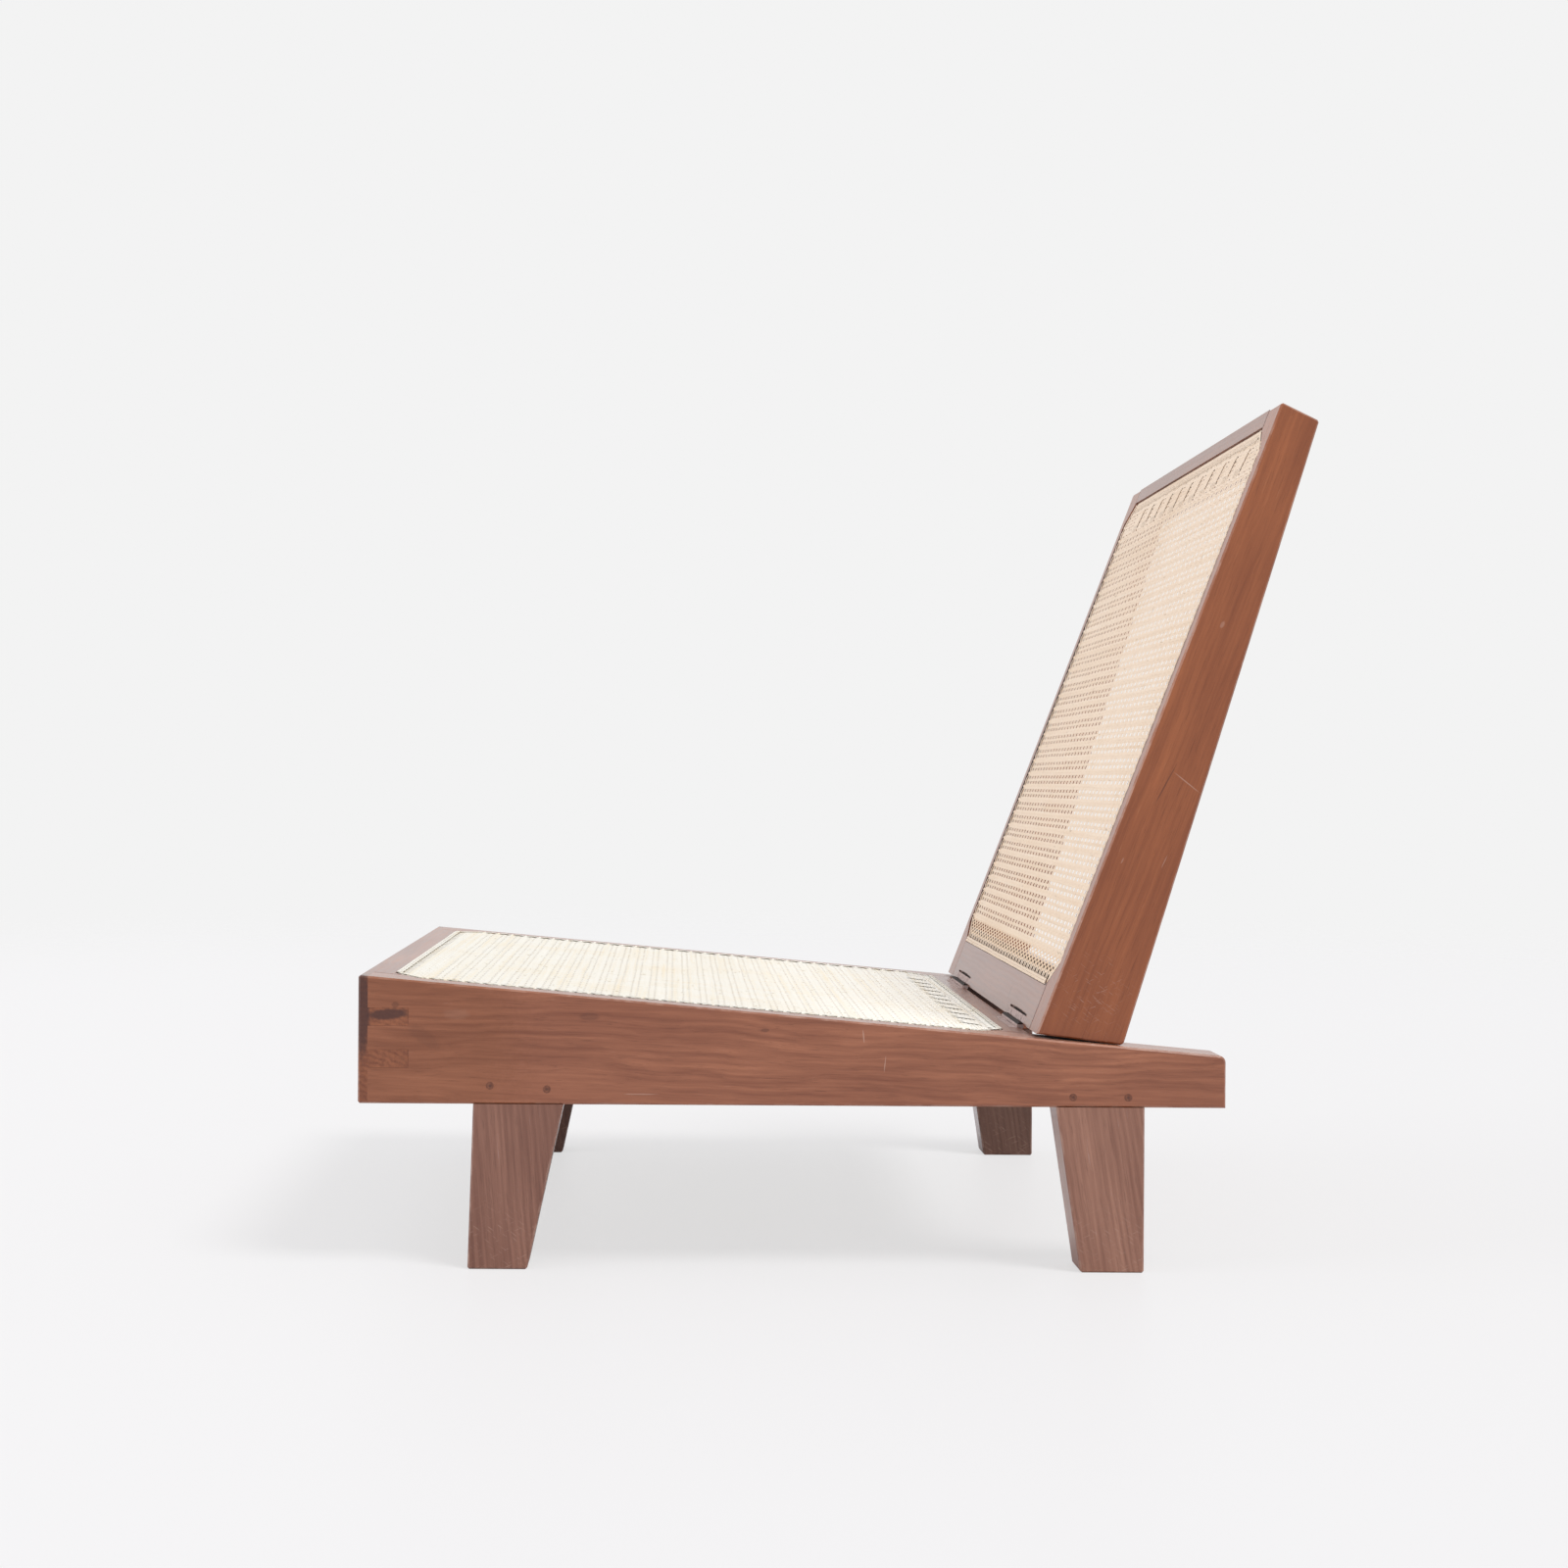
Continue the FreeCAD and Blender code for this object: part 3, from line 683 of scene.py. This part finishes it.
        # Four broad strands lie side by side over the rows of the band, then a gap follows.
        for shift in range(4):
            cover = self.slanted(self.field_top, hatch_low + 0.0008, weave.upright_width, COVER_TURN,
                                 2.5 * weave.pitch, 0.0009, inner - 0.004)
            pieces.append(moved(cover, lambda co: True, (shift * weave.upright_spacing, 0, 0)))
        pieces.append(self.slanted(hatch_low, self.high - 0.0012, 0.0026, HATCH_TURN, weave.pitch / 4, 0.0004,
                                   inner))
        steps = 2 * round((self.high - self.low - 2 * self.clip) / self.step / 2)
        beat = round(((self.low + self.high) / 2 - self.first_row) / self.step)
        for side in (-1, 1):
            edge = self.strand("edge", steps * self.step, EDGE_WIDTH, steps,
                               (side * (self.half - EDGE_LINE), self.first_row + beat * self.step, 0.0009),
                               RIGHT_ANGLE, 1.4)
            pieces.append(waved(edge, 1, self.first_row, self.step, (-0.0006, 0.0002, 0.0007, 0.0002)))
            loop = self.strand("loop", LOOP_LENGTH, LOOP_WIDTH, 5,
                               (side * (self.half - LOOP_LINE), self.first_row, 0.0012))
            moved(loop, lambda co: abs(abs(co.x) - self.half + LOOP_LINE) > LOOP_FLAT, (0, 0, -LOOP_DIP))
            pieces.append(repeated(loop, self.rows, (0, weave.pitch, 0)))
            inset = self.clip / 2 + CORNER_LINE
            for end, up in ((self.low, -1), (self.high, 1)):
                pieces.append(self.strand("corner", self.clip * 1.36, 0.0038, 6,
                                          (side * (self.half - inset), end - up * inset, 0.0007),
                                          -side * up * RIGHT_ANGLE / 2, 1.6))
        whole = trimmed(joined(pieces, self.name + "_borders"), self.corners())
        return wandering(whole, "Y", WANDER["border"], 7)

    def foot(self):
        """The foot band, whose strands leave staggered openings. The snugger they are laid, the smaller."""
        rows = self.band(self.low + FOOT_BAND_LOW, self.field_low - 0.0002, FOOT_BAND_ROWS, 1.06,
                         FOOT_BAND_SWAY / self.snug ** 8)
        whole = trimmed(joined(rows, self.name + "_foot_band"), self.corners())
        return wandering(whole, "Y", WANDER["border"], 7)

    def pegs(self):
        """Small pegs that wedge the cane in its holes along both sides, coloured dark as painted shade of the
        holes.
        """
        pieces = []
        for side in (-1, 1):
            deselect()
            bpy.ops.mesh.primitive_cone_add(
                vertices=8, radius1=0.0012, radius2=0.0009, depth=0.0024,
                location=(side * (self.half - PEG_LINE), self.first_row + PEG_RISE, self.level - 0.0004))
            pieces.append(repeated(settled(bpy.context.object), self.rows, (0, self.weave.pitch, 0)))
        return joined(pieces, self.name + "_cane_pegs")

    def binding(self, ends):
        """Two flat strands over the end holes, tied down at every hole."""
        pitch, reach = self.weave.pitch, self.half - self.clip
        count = 2 * int(reach / pitch) + 1
        pieces = []
        for end in ends:
            for shift in (-STRIP_SHIFT, STRIP_SHIFT):
                strip = ribbon("strip", 2 * reach, STRIP_WIDTH, STRIP_THICKNESS,
                               4 * round(2 * reach / pitch), (0, end + shift, 0.00092))
                pieces.append(waved(strip, 0, 0, self.step, (-0.0002, 0, 0.0001, 0)))
            tie = ribbon("tie", TIE_LENGTH, TIE_WIDTH, TIE_THICKNESS, 5,
                         (-(count - 1) / 2 * pitch, end, 0.00105), RIGHT_ANGLE)
            moved(tie, lambda co: abs(co.y - end) > TIE_FLAT, (0, 0, -TIE_DIP))
            pieces.append(repeated(tie, count, (pitch, 0, 0)))
        return wandering(joined(pieces, self.name + "_binding_strips"), "Y", WANDER["border"], 9)

    def set_down(self, piece, material, nodes=()):
        """Turns a finished piece into the plane of the mat and hands it over."""
        smoothed(piece)
        laid(piece, self.angle, self.start)
        return fitted_out(piece, material, self.body, nodes)

    def woven(self, bound, shade):
        """Weaves the mat and binds it at the given lines with strips of a given shade."""
        used = {"streaks": self.streaks, "rested": self.rested, "knots": self.knots}
        across = cane(self.name + "_cross_cane", self.angle, "across", self.tints, **used)
        along = cane(self.name + "_long_cane", self.angle, "up", self.tints, **used)
        self.set_down(self.cross_strands(), across, (self.name + "_cane",))
        self.set_down(self.long_strands(), along)
        self.set_down(self.borders(), across)
        self.set_down(self.foot(), cane(self.name + "_foot_cane", self.angle, "across", self.foot_tints,
                                        streaks=self.streaks))
        # The pegs' cane is darkened to 0.28: painted shade of the holes.
        self.set_down(self.pegs(), cane(self.name + "_peg_cane", self.angle, "up", self.tints, 0.28))
        self.set_down(self.binding(bound),
                      cane(self.name + "_binding_cane", self.angle, "across", self.tints, shade),
                      (self.name + "_cane_binding",))


# Operators

SIDES = {"left": 1, "right": -1}
BOARD_SIDE = 0.275  # From the middle of the chair to a seat board's outer side, and to its middle.
BOARD_MIDDLE = 0.2575
STILE_SIDE = 0.267  # The same for a stile of the back.
STILE_MIDDLE = 0.2495
PEG_PLACES = ((-0.2908, 0.1533), (-0.2432, 0.1506), (0.1964, 0.1464), (0.2424, 0.1464))
SCREW_PLACES = (-0.187, -0.137, 0.137, 0.187)
HEAD_RADIUS = 0.0027
HEAD_DEPTH = 0.0015
SHANK_RADIUS = 0.0012
SHANK_LENGTH = 0.0133
SLOT_REACH = 0.00032  # Half of the width of a screw's slot.
SLOT_DEPTH = 0.0006
NEAR = 0.0001


class CHAIR_OT_stage(bpy.types.Operator):
    """Makes the floor, the lamps, the sky and the camera"""
    bl_idname = "chair.stage"
    bl_label = "Studio"

    def execute(self, context):
        studio = context.scene.studio_sizes
        context.scene.view_settings.view_transform = "Standard"
        deselect()
        bpy.ops.mesh.primitive_circle_add(vertices=96, radius=5.0, fill_type="NGON")
        floor = context.object
        floor.name = "studio_floor"
        floor.data.materials.append(self.floor_material(studio))
        self.sky(context, studio)
        key = self.lamp("SUN", (1, 2, 4), (-0.33, -0.54, -1.0), studio.sun)
        key.color = (1.0, 0.995, 0.97)
        key.angle = math.radians(20)
        fill = self.lamp("AREA", (0.9, -6.0, 2.3), (-0.25, 1.0, -0.32), studio.fill)
        fill.size = 4.0
        bpy.ops.object.camera_add(location=studio.camera_place,
                                  rotation=(RIGHT_ANGLE, -studio.camera_roll, RIGHT_ANGLE))
        camera = context.object
        camera.data.sensor_width = 36.0
        camera.data.lens = studio.focal_length
        camera.data.shift_x = studio.shift_x
        camera.data.shift_y = studio.shift_y
        camera.data.clip_start = 0.05
        context.scene.camera = camera
        return {"FINISHED"}

    def lamp(self, kind, spot, direction, strength):
        aim = Vector(direction).to_track_quat("-Z", "Y").to_euler()
        bpy.ops.object.light_add(type=kind, location=spot, rotation=aim)
        bpy.context.object.data.energy = strength
        return bpy.context.object.data

    def floor_material(self, studio):
        """Takes shadows, looks nearly like the backdrop and fades out far away."""
        recipe = Recipe(bpy.data.materials.new("studio_floor"))
        away = recipe.vector("LENGTH", recipe.place(), out="Value")
        seen = recipe.node("ShaderNodeLightPath", {}, {}, "Is Camera Ray")
        lit = recipe.node("ShaderNodeBsdfPrincipled", {}, {
            "Base Color": rgb((0.77, 0.762, 0.782)), "Roughness": 0.42, "Specular IOR Level": 0.2})
        plain = recipe.node("ShaderNodeEmission", {}, {"Color": rgb(studio.backdrop), "Strength": 1.0})
        floor = recipe.node("ShaderNodeMixShader", {}, {0: seen * 0.68, 1: lit, 2: plain})
        gone = recipe.node("ShaderNodeBsdfTransparent", {}, {})
        return recipe.finish("ShaderNodeMixShader", {0: away.rise(2.2, 4.6), 1: floor, 2: gone})

    def sky(self, context, studio):
        """Light from all round, in place of which the camera and reflections see the backdrop."""
        world = context.scene.world or bpy.data.worlds.new("studio")
        context.scene.world = world
        recipe = Recipe(world, "ShaderNodeOutputWorld")
        seen = 0.0
        for ray in ("Is Camera Ray", "Is Glossy Ray", "Is Transmission Ray"):
            seen = recipe.maths("MAXIMUM", seen, recipe.node("ShaderNodeLightPath", {}, {}, ray))
        tint = rgb((0.985, 0.965, 1.0))
        light = recipe.node("ShaderNodeBackground", {}, {"Color": tint, "Strength": studio.sky})
        plain = recipe.node("ShaderNodeBackground", {}, {"Color": rgb(studio.backdrop), "Strength": 1.0})
        recipe.finish("ShaderNodeMixShader", {0: seen, 1: light, 2: plain})


class CHAIR_OT_seat_wood(bpy.types.Operator):
    """Finishes the boards, rails, legs and pegs of the seat in oiled hardwood"""
    bl_idname = "chair.seat_wood"
    bl_label = "Seat wood"

    def execute(self, context):
        colours = context.scene.chair_colours
        dark, pale, grime = rgb(colours.wood_end), rgb(colours.wood_worn, 1.1), rgb(colours.grime)
        slope = math.degrees(context.scene.chair_shape.seat_turn)
        rail_marks = []
        for side, sign in SIDES.items():
            outer, middle = sign * BOARD_SIDE, sign * BOARD_MIDDLE
            legs = 1.0 if side == "left" else 0.44  # The legs of the right side are painted darker: painted shade of the far legs under the seat.
            marks = side_marks(
                outer,
                (-0.346, 0.194, -35, 0.018, 0.007, 0.2, dark),
                (-0.37, 0.2207, 0, 0.0035, 0.003, 0.45, dark),
                (-0.208, 0.2115, 0, 0.01, 0.0035, 0.3, dark),
                (-0.061, 0.201, 0, 0.004, 0.0018, 0.4, dark),
                (-0.319, 0.213, 0, 0.012, 0.005, 0.1, pale),
                (0.0211, 0.1963, 96, 0.0065, 0.0006, 0.5, pale),
                (0.0391, 0.1734, 84, 0.0075, 0.0005, 0.42, pale),
                (-0.165, 0.147, 0, 0.016, 0.0007, 0.28, pale),
                (-0.36, 0.19, 0, 0.11, 0.12, 0.32, rgb((0.16, 0.045, 0.008))))
            # Painted shade inside the board by the hinge gap, under the foot of the stile and along the mat.
            marks += [((sign * 0.24, 0.204, 0.175), 0, (0.0022, 0.06, 0.024), 0.92, grime),
                      ((sign * STILE_MIDDLE, 0.203, 0.1919), slope, (0.019, 0.042, 0.002), 0.95, grime),
                      ((sign * 0.253, -0.1158, 0.2187), slope, (0.0022, 0.27, 0.003), 0.9, grime)]
            dressed("seat_side_" + side, wood(
                "seat_board_" + side, (0, 1, -0.035), (middle, 0.0, 0.19), (1.0, 1.0, 1.0),
                (0.0, 0.07 * sign, 0.045), ring=0.0055, marks=marks, waves=0.016, contrast=0.85))
            dressed("front_leg_" + side, wood(
                "front_leg_" + side, (0, 0.09, -1), (middle, -0.275, 0.07),
                (0.76 * legs, 0.94 * legs, 1.22 * legs), (0.0, 0.05, 0.06 * sign),
                scuffed=((outer, -0.285, 0.0), 0.075), waves=0.004, contrast=0.8))
            dressed("rear_leg_" + side, wood(
                "rear_leg_" + side, (0, 0.16, -1), (middle, 0.22, 0.07),
                (0.98 * legs, 1.28 * legs, 1.65 * legs), (0.0, 0.04, 0.05 * sign),
                scuffed=((outer, 0.23, 0.0), 0.075), waves=0.004, contrast=0.75))
            centres = side_marks(outer, *((y, z, 0, 0.0013, 0.0013, 0.6, dark) for y, z in PEG_PLACES))
            dressed("leg_pegs_" + side, wood(
                "pegs_" + side, (1, 0, 0), (sign * 0.26, 0.0, 0.15), (0.68, 0.64, 0.6),
                (0.0, 0.09, 0.05), ring=0.003, marks=centres, waves=0.004, ends=0.25))
            rail_marks += side_marks(outer, (-0.3975, 0.215, 0, 0.007, 0.045, 0.85, dark),
                                     (-0.3765, 0.2125, 4, 0.02, 0.005, 0.85, dark))
        dressed("seat_front_rail", wood(
            "front_rail", (1, 0, 0), (0, -0.38, 0.19), (0.84, 0.75, 0.6), (0.0, 0.03, 0.08),
            marks=rail_marks, ends=0.15))
        dressed("seat_rear_rail", wood(
            "rear_rail", (1, 0, 0), (0, 0.145, 0.17), (0.86, 0.88, 0.92), (0.0, 0.05, 0.06),
            waves=0.006, contrast=0.6))
        return {"FINISHED"}


class CHAIR_OT_back_wood(bpy.types.Operator):
    """Finishes the stiles and rails of the back in oiled hardwood"""
    bl_idname = "chair.back_wood"
    bl_label = "Back wood"

    def execute(self, context):
        shape, colours = context.scene.chair_shape, context.scene.chair_colours
        tilt = math.degrees(shape.back_turn)
        up = (0, math.cos(shape.back_turn), math.sin(shape.back_turn))
        dark, pale, grime = rgb(colours.wood_end), rgb(colours.wood_worn, 1.1), rgb(colours.grime)
        for side, sign in SIDES.items():
            outer = sign * STILE_SIDE
            # The stile of the right side is painted a little darker: painted shade of the far side.
            far = 1.0 if side == "left" else 0.9
            marks = side_marks(
                outer,
                (0.2919, 0.4098, -38.7, 0.015, 0.0006, 0.38, pale),
                (0.3209, 0.5425, 60, 0.0035, 0.0018, 0.25, pale),
                (0.2734, 0.407, 62, 0.02, 0.0006, 0.55, dark),
                (0.2381, 0.344, 65, 0.003, 0.0006, 0.3, pale),
                (0.2734, 0.3434, 65, 0.006, 0.0005, 0.3, pale),
                (0.26, 0.21, 20, 0.01, 0.0006, 0.3, pale))
            # Painted shade along the mat and under the foot.
            marks += [((sign * 0.252, 0.2739, 0.4746), tilt, (0.0022, 0.28, 0.003), 0.9, grime),
                      ((sign * STILE_MIDDLE, 0.203, 0.1945), 0, (0.017, 0.04, 0.0035), 0.9, grime)]
            dressed("back_stile_" + side, wood(
                "stile_" + side, up, (sign * STILE_MIDDLE, 0.28, 0.46), (1.0 * far, 0.83 * far, 0.57 * far),
                (0.0, 0.1 * sign, 0.03), ring=0.006, scuffed=((outer, 0.213, 0.232), 0.045), marks=marks,
                waves=0.006, contrast=0.55))
        dressed("back_top_rail", wood(
            "top_rail", (1, 0, 0), (0, 0.375, 0.71), (0.86, 1.0, 1.2), (0.0, 0.04, 0.05),
            waves=0.006, contrast=0.6))
        # Dents, painted shade on the rail behind the foot band, and painted shade in the slots over the
        # hinges.
        marks = [((-0.0246, 0.1685, 0.202), tilt, (0.001, 0.004, 0.01), 0.8, dark),
                 ((0.0975, 0.1735, 0.2152), tilt, (0.001, 0.008, 0.01), 0.8, dark),
                 ((0.193, 0.1685, 0.202), tilt, (0.0016, 0.0016, 0.01), 0.8, dark),
                 ((0, 0.1848, 0.2448), tilt, (0.4, 0.008, 0.01), 0.95, rgb((0.1, 0.045, 0.022)))]
        marks += [((side * shape.hinge_side, 0.1707, 0.2057), tilt, (0.048, 0.0023, 0.0022), 1.0, grime)
                  for side in (-1, 1)]
        dressed("back_bottom_rail", wood(
            "bottom_rail", (1, 0, 0), (0, 0.19, 0.22), (0.86, 1.0, 1.2), (0.0, 0.06, 0.04),
            marks=marks, waves=0.006, contrast=0.6))
        return {"FINISHED"}


class CHAIR_OT_back_cane(bpy.types.Operator):
    """Weaves the cane mat of the back"""
    bl_idname = "chair.back_cane"
    bl_label = "Back cane"

    def execute(self, context):
        shape, weave = context.scene.chair_shape, context.scene.cane_sizes
        colours = context.scene.chair_colours
        mat = Mat("back", "backrest", shape.back_mat_foot, shape.back_mat_top, weave.back_sunk,
                  (colours.cane_light, colours.cane_dark), (colours.foot_light, colours.foot_dark),
                  weave.cross_lift, weave.thickness, growth=weave.long_growth, foot_share=0.85)
        mat.woven((mat.low + STRIP_LINE,), 0.95)
        return {"FINISHED"}


class CHAIR_OT_seat_cane(bpy.types.Operator):
    """Weaves the cane mat of the seat"""
    bl_idname = "chair.seat_cane"
    bl_label = "Seat cane"

    def execute(self, context):
        shape, weave = context.scene.chair_shape, context.scene.cane_sizes
        colours = context.scene.chair_colours
        tints = (colours.seat_light, colours.seat_dark)
        mat = Mat("seat", "seat_frame", shape.seat_mat_front, shape.seat_mat_rear, weave.seat_sunk,
                  tints, tints, weave.seat_lift, weave.seat_thickness, snug=weave.seat_snug, streaks=1.4,
                  knots=0.65, rested=(-0.1, 0.13))
        mat.woven((mat.low + STRIP_LINE, mat.high - STRIP_LINE), 0.97)
        return {"FINISHED"}


class CHAIR_OT_fittings(bpy.types.Operator):
    """Finishes the hinges and puts slotted screws in their leaves"""
    bl_idname = "chair.fittings"
    bl_label = "Hinges and screws"

    def execute(self, context):
        shape = context.scene.chair_shape
        for side in SIDES:
            dressed("hinge_seat_leaf_" + side, tarnished("seat_leaf_metal_" + side))
            dressed("hinge_back_leaf_" + side, tarnished("back_leaf_metal_" + side))
            dressed("hinge_pin_" + side, tarnished("pin_metal_" + side, 0.8))
        self.screws("back_screws", "back_leaf_screws", "backrest", (0.168533, 0.202224), shape.back_turn)
        self.screws("seat_screws", "seat_leaf_screws", "seat_frame", (0.158342, 0.195846), shape.seat_turn)
        return {"FINISHED"}

    def screws(self, name, node, body, spot, tilt):
        """Four screws, each with its slot turned its own way."""
        made = []
        for index, x in enumerate(SCREW_PLACES):
            screw = self.screw()
            screw.rotation_euler = (0, 0, 0.5 + 1.1 * index)
            settled(screw)
            made.append(laid(screw, tilt, (x, *spot)))
        whole = smoothed(joined(made, name), 30)
        fitted_out(whole, tarnished(name + "_metal", 0.9), body, (node,))

    def screw(self):
        """A countersunk head with a slot, and its shank."""
        deselect()
        bpy.ops.mesh.primitive_cone_add(vertices=24, radius1=SHANK_RADIUS, radius2=HEAD_RADIUS,
                                        depth=HEAD_DEPTH, location=(0, 0, -HEAD_DEPTH / 2))
        piece = settled(bpy.context.object)
        editing(piece)
        for side in (-1, 1):
            bpy.ops.mesh.select_all(action="SELECT")
            bpy.ops.mesh.bisect(plane_co=(0, side * SLOT_REACH, 0), plane_no=(0, 1, 0))
        pick(piece, lambda co: co.z > -NEAR and abs(co.y) < SLOT_REACH + NEAR)
        bpy.ops.mesh.extrude_region_move(TRANSFORM_OT_translate={"value": (0, 0, -SLOT_DEPTH)})
        pick(piece, lambda co: co.z < NEAR - HEAD_DEPTH)
        bpy.ops.mesh.extrude_region_move(TRANSFORM_OT_translate={"value": (0, 0, -SHANK_LENGTH)})
        bpy.ops.mesh.select_all(action="SELECT")
        bpy.ops.mesh.normals_make_consistent(inside=False)
        done()
        return piece


class CHAIR_PT_sidebar(bpy.types.Panel):
    """Lists the steps that dress the chair"""
    bl_idname = "CHAIR_PT_sidebar"
    bl_label = "Cane Chair"
    bl_space_type = "VIEW_3D"
    bl_region_type = "UI"
    bl_category = "Cane Chair"

    def draw(self, context):
        for step in STEPS:
            self.layout.operator(step.bl_idname)
        for group in GROUPS:
            settings = getattr(context.scene, group)
            box = self.layout.box()
            for name in settings.__annotations__:
                box.prop(settings, name)


STEPS = (CHAIR_OT_stage, CHAIR_OT_seat_wood, CHAIR_OT_back_wood, CHAIR_OT_back_cane, CHAIR_OT_seat_cane,
         CHAIR_OT_fittings)
GROUPS = {"chair_shape": ChairShape, "cane_sizes": CaneSizes, "chair_colours": ChairColours,
          "studio_sizes": StudioSizes}


def register():
    for kind in (*GROUPS.values(), *STEPS, CHAIR_PT_sidebar):
        bpy.utils.register_class(kind)
    for name, kind in GROUPS.items():
        setattr(bpy.types.Scene, name, PointerProperty(type=kind))


def unregister():
    for name in GROUPS:
        delattr(bpy.types.Scene, name)
    for kind in reversed((*GROUPS.values(), *STEPS, CHAIR_PT_sidebar)):
        bpy.utils.unregister_class(kind)


def main():
    register()
    for step in STEPS:
        group, name = step.bl_idname.split(".")
        getattr(getattr(bpy.ops, group), name)()


if __name__ == "__main__":
    main()
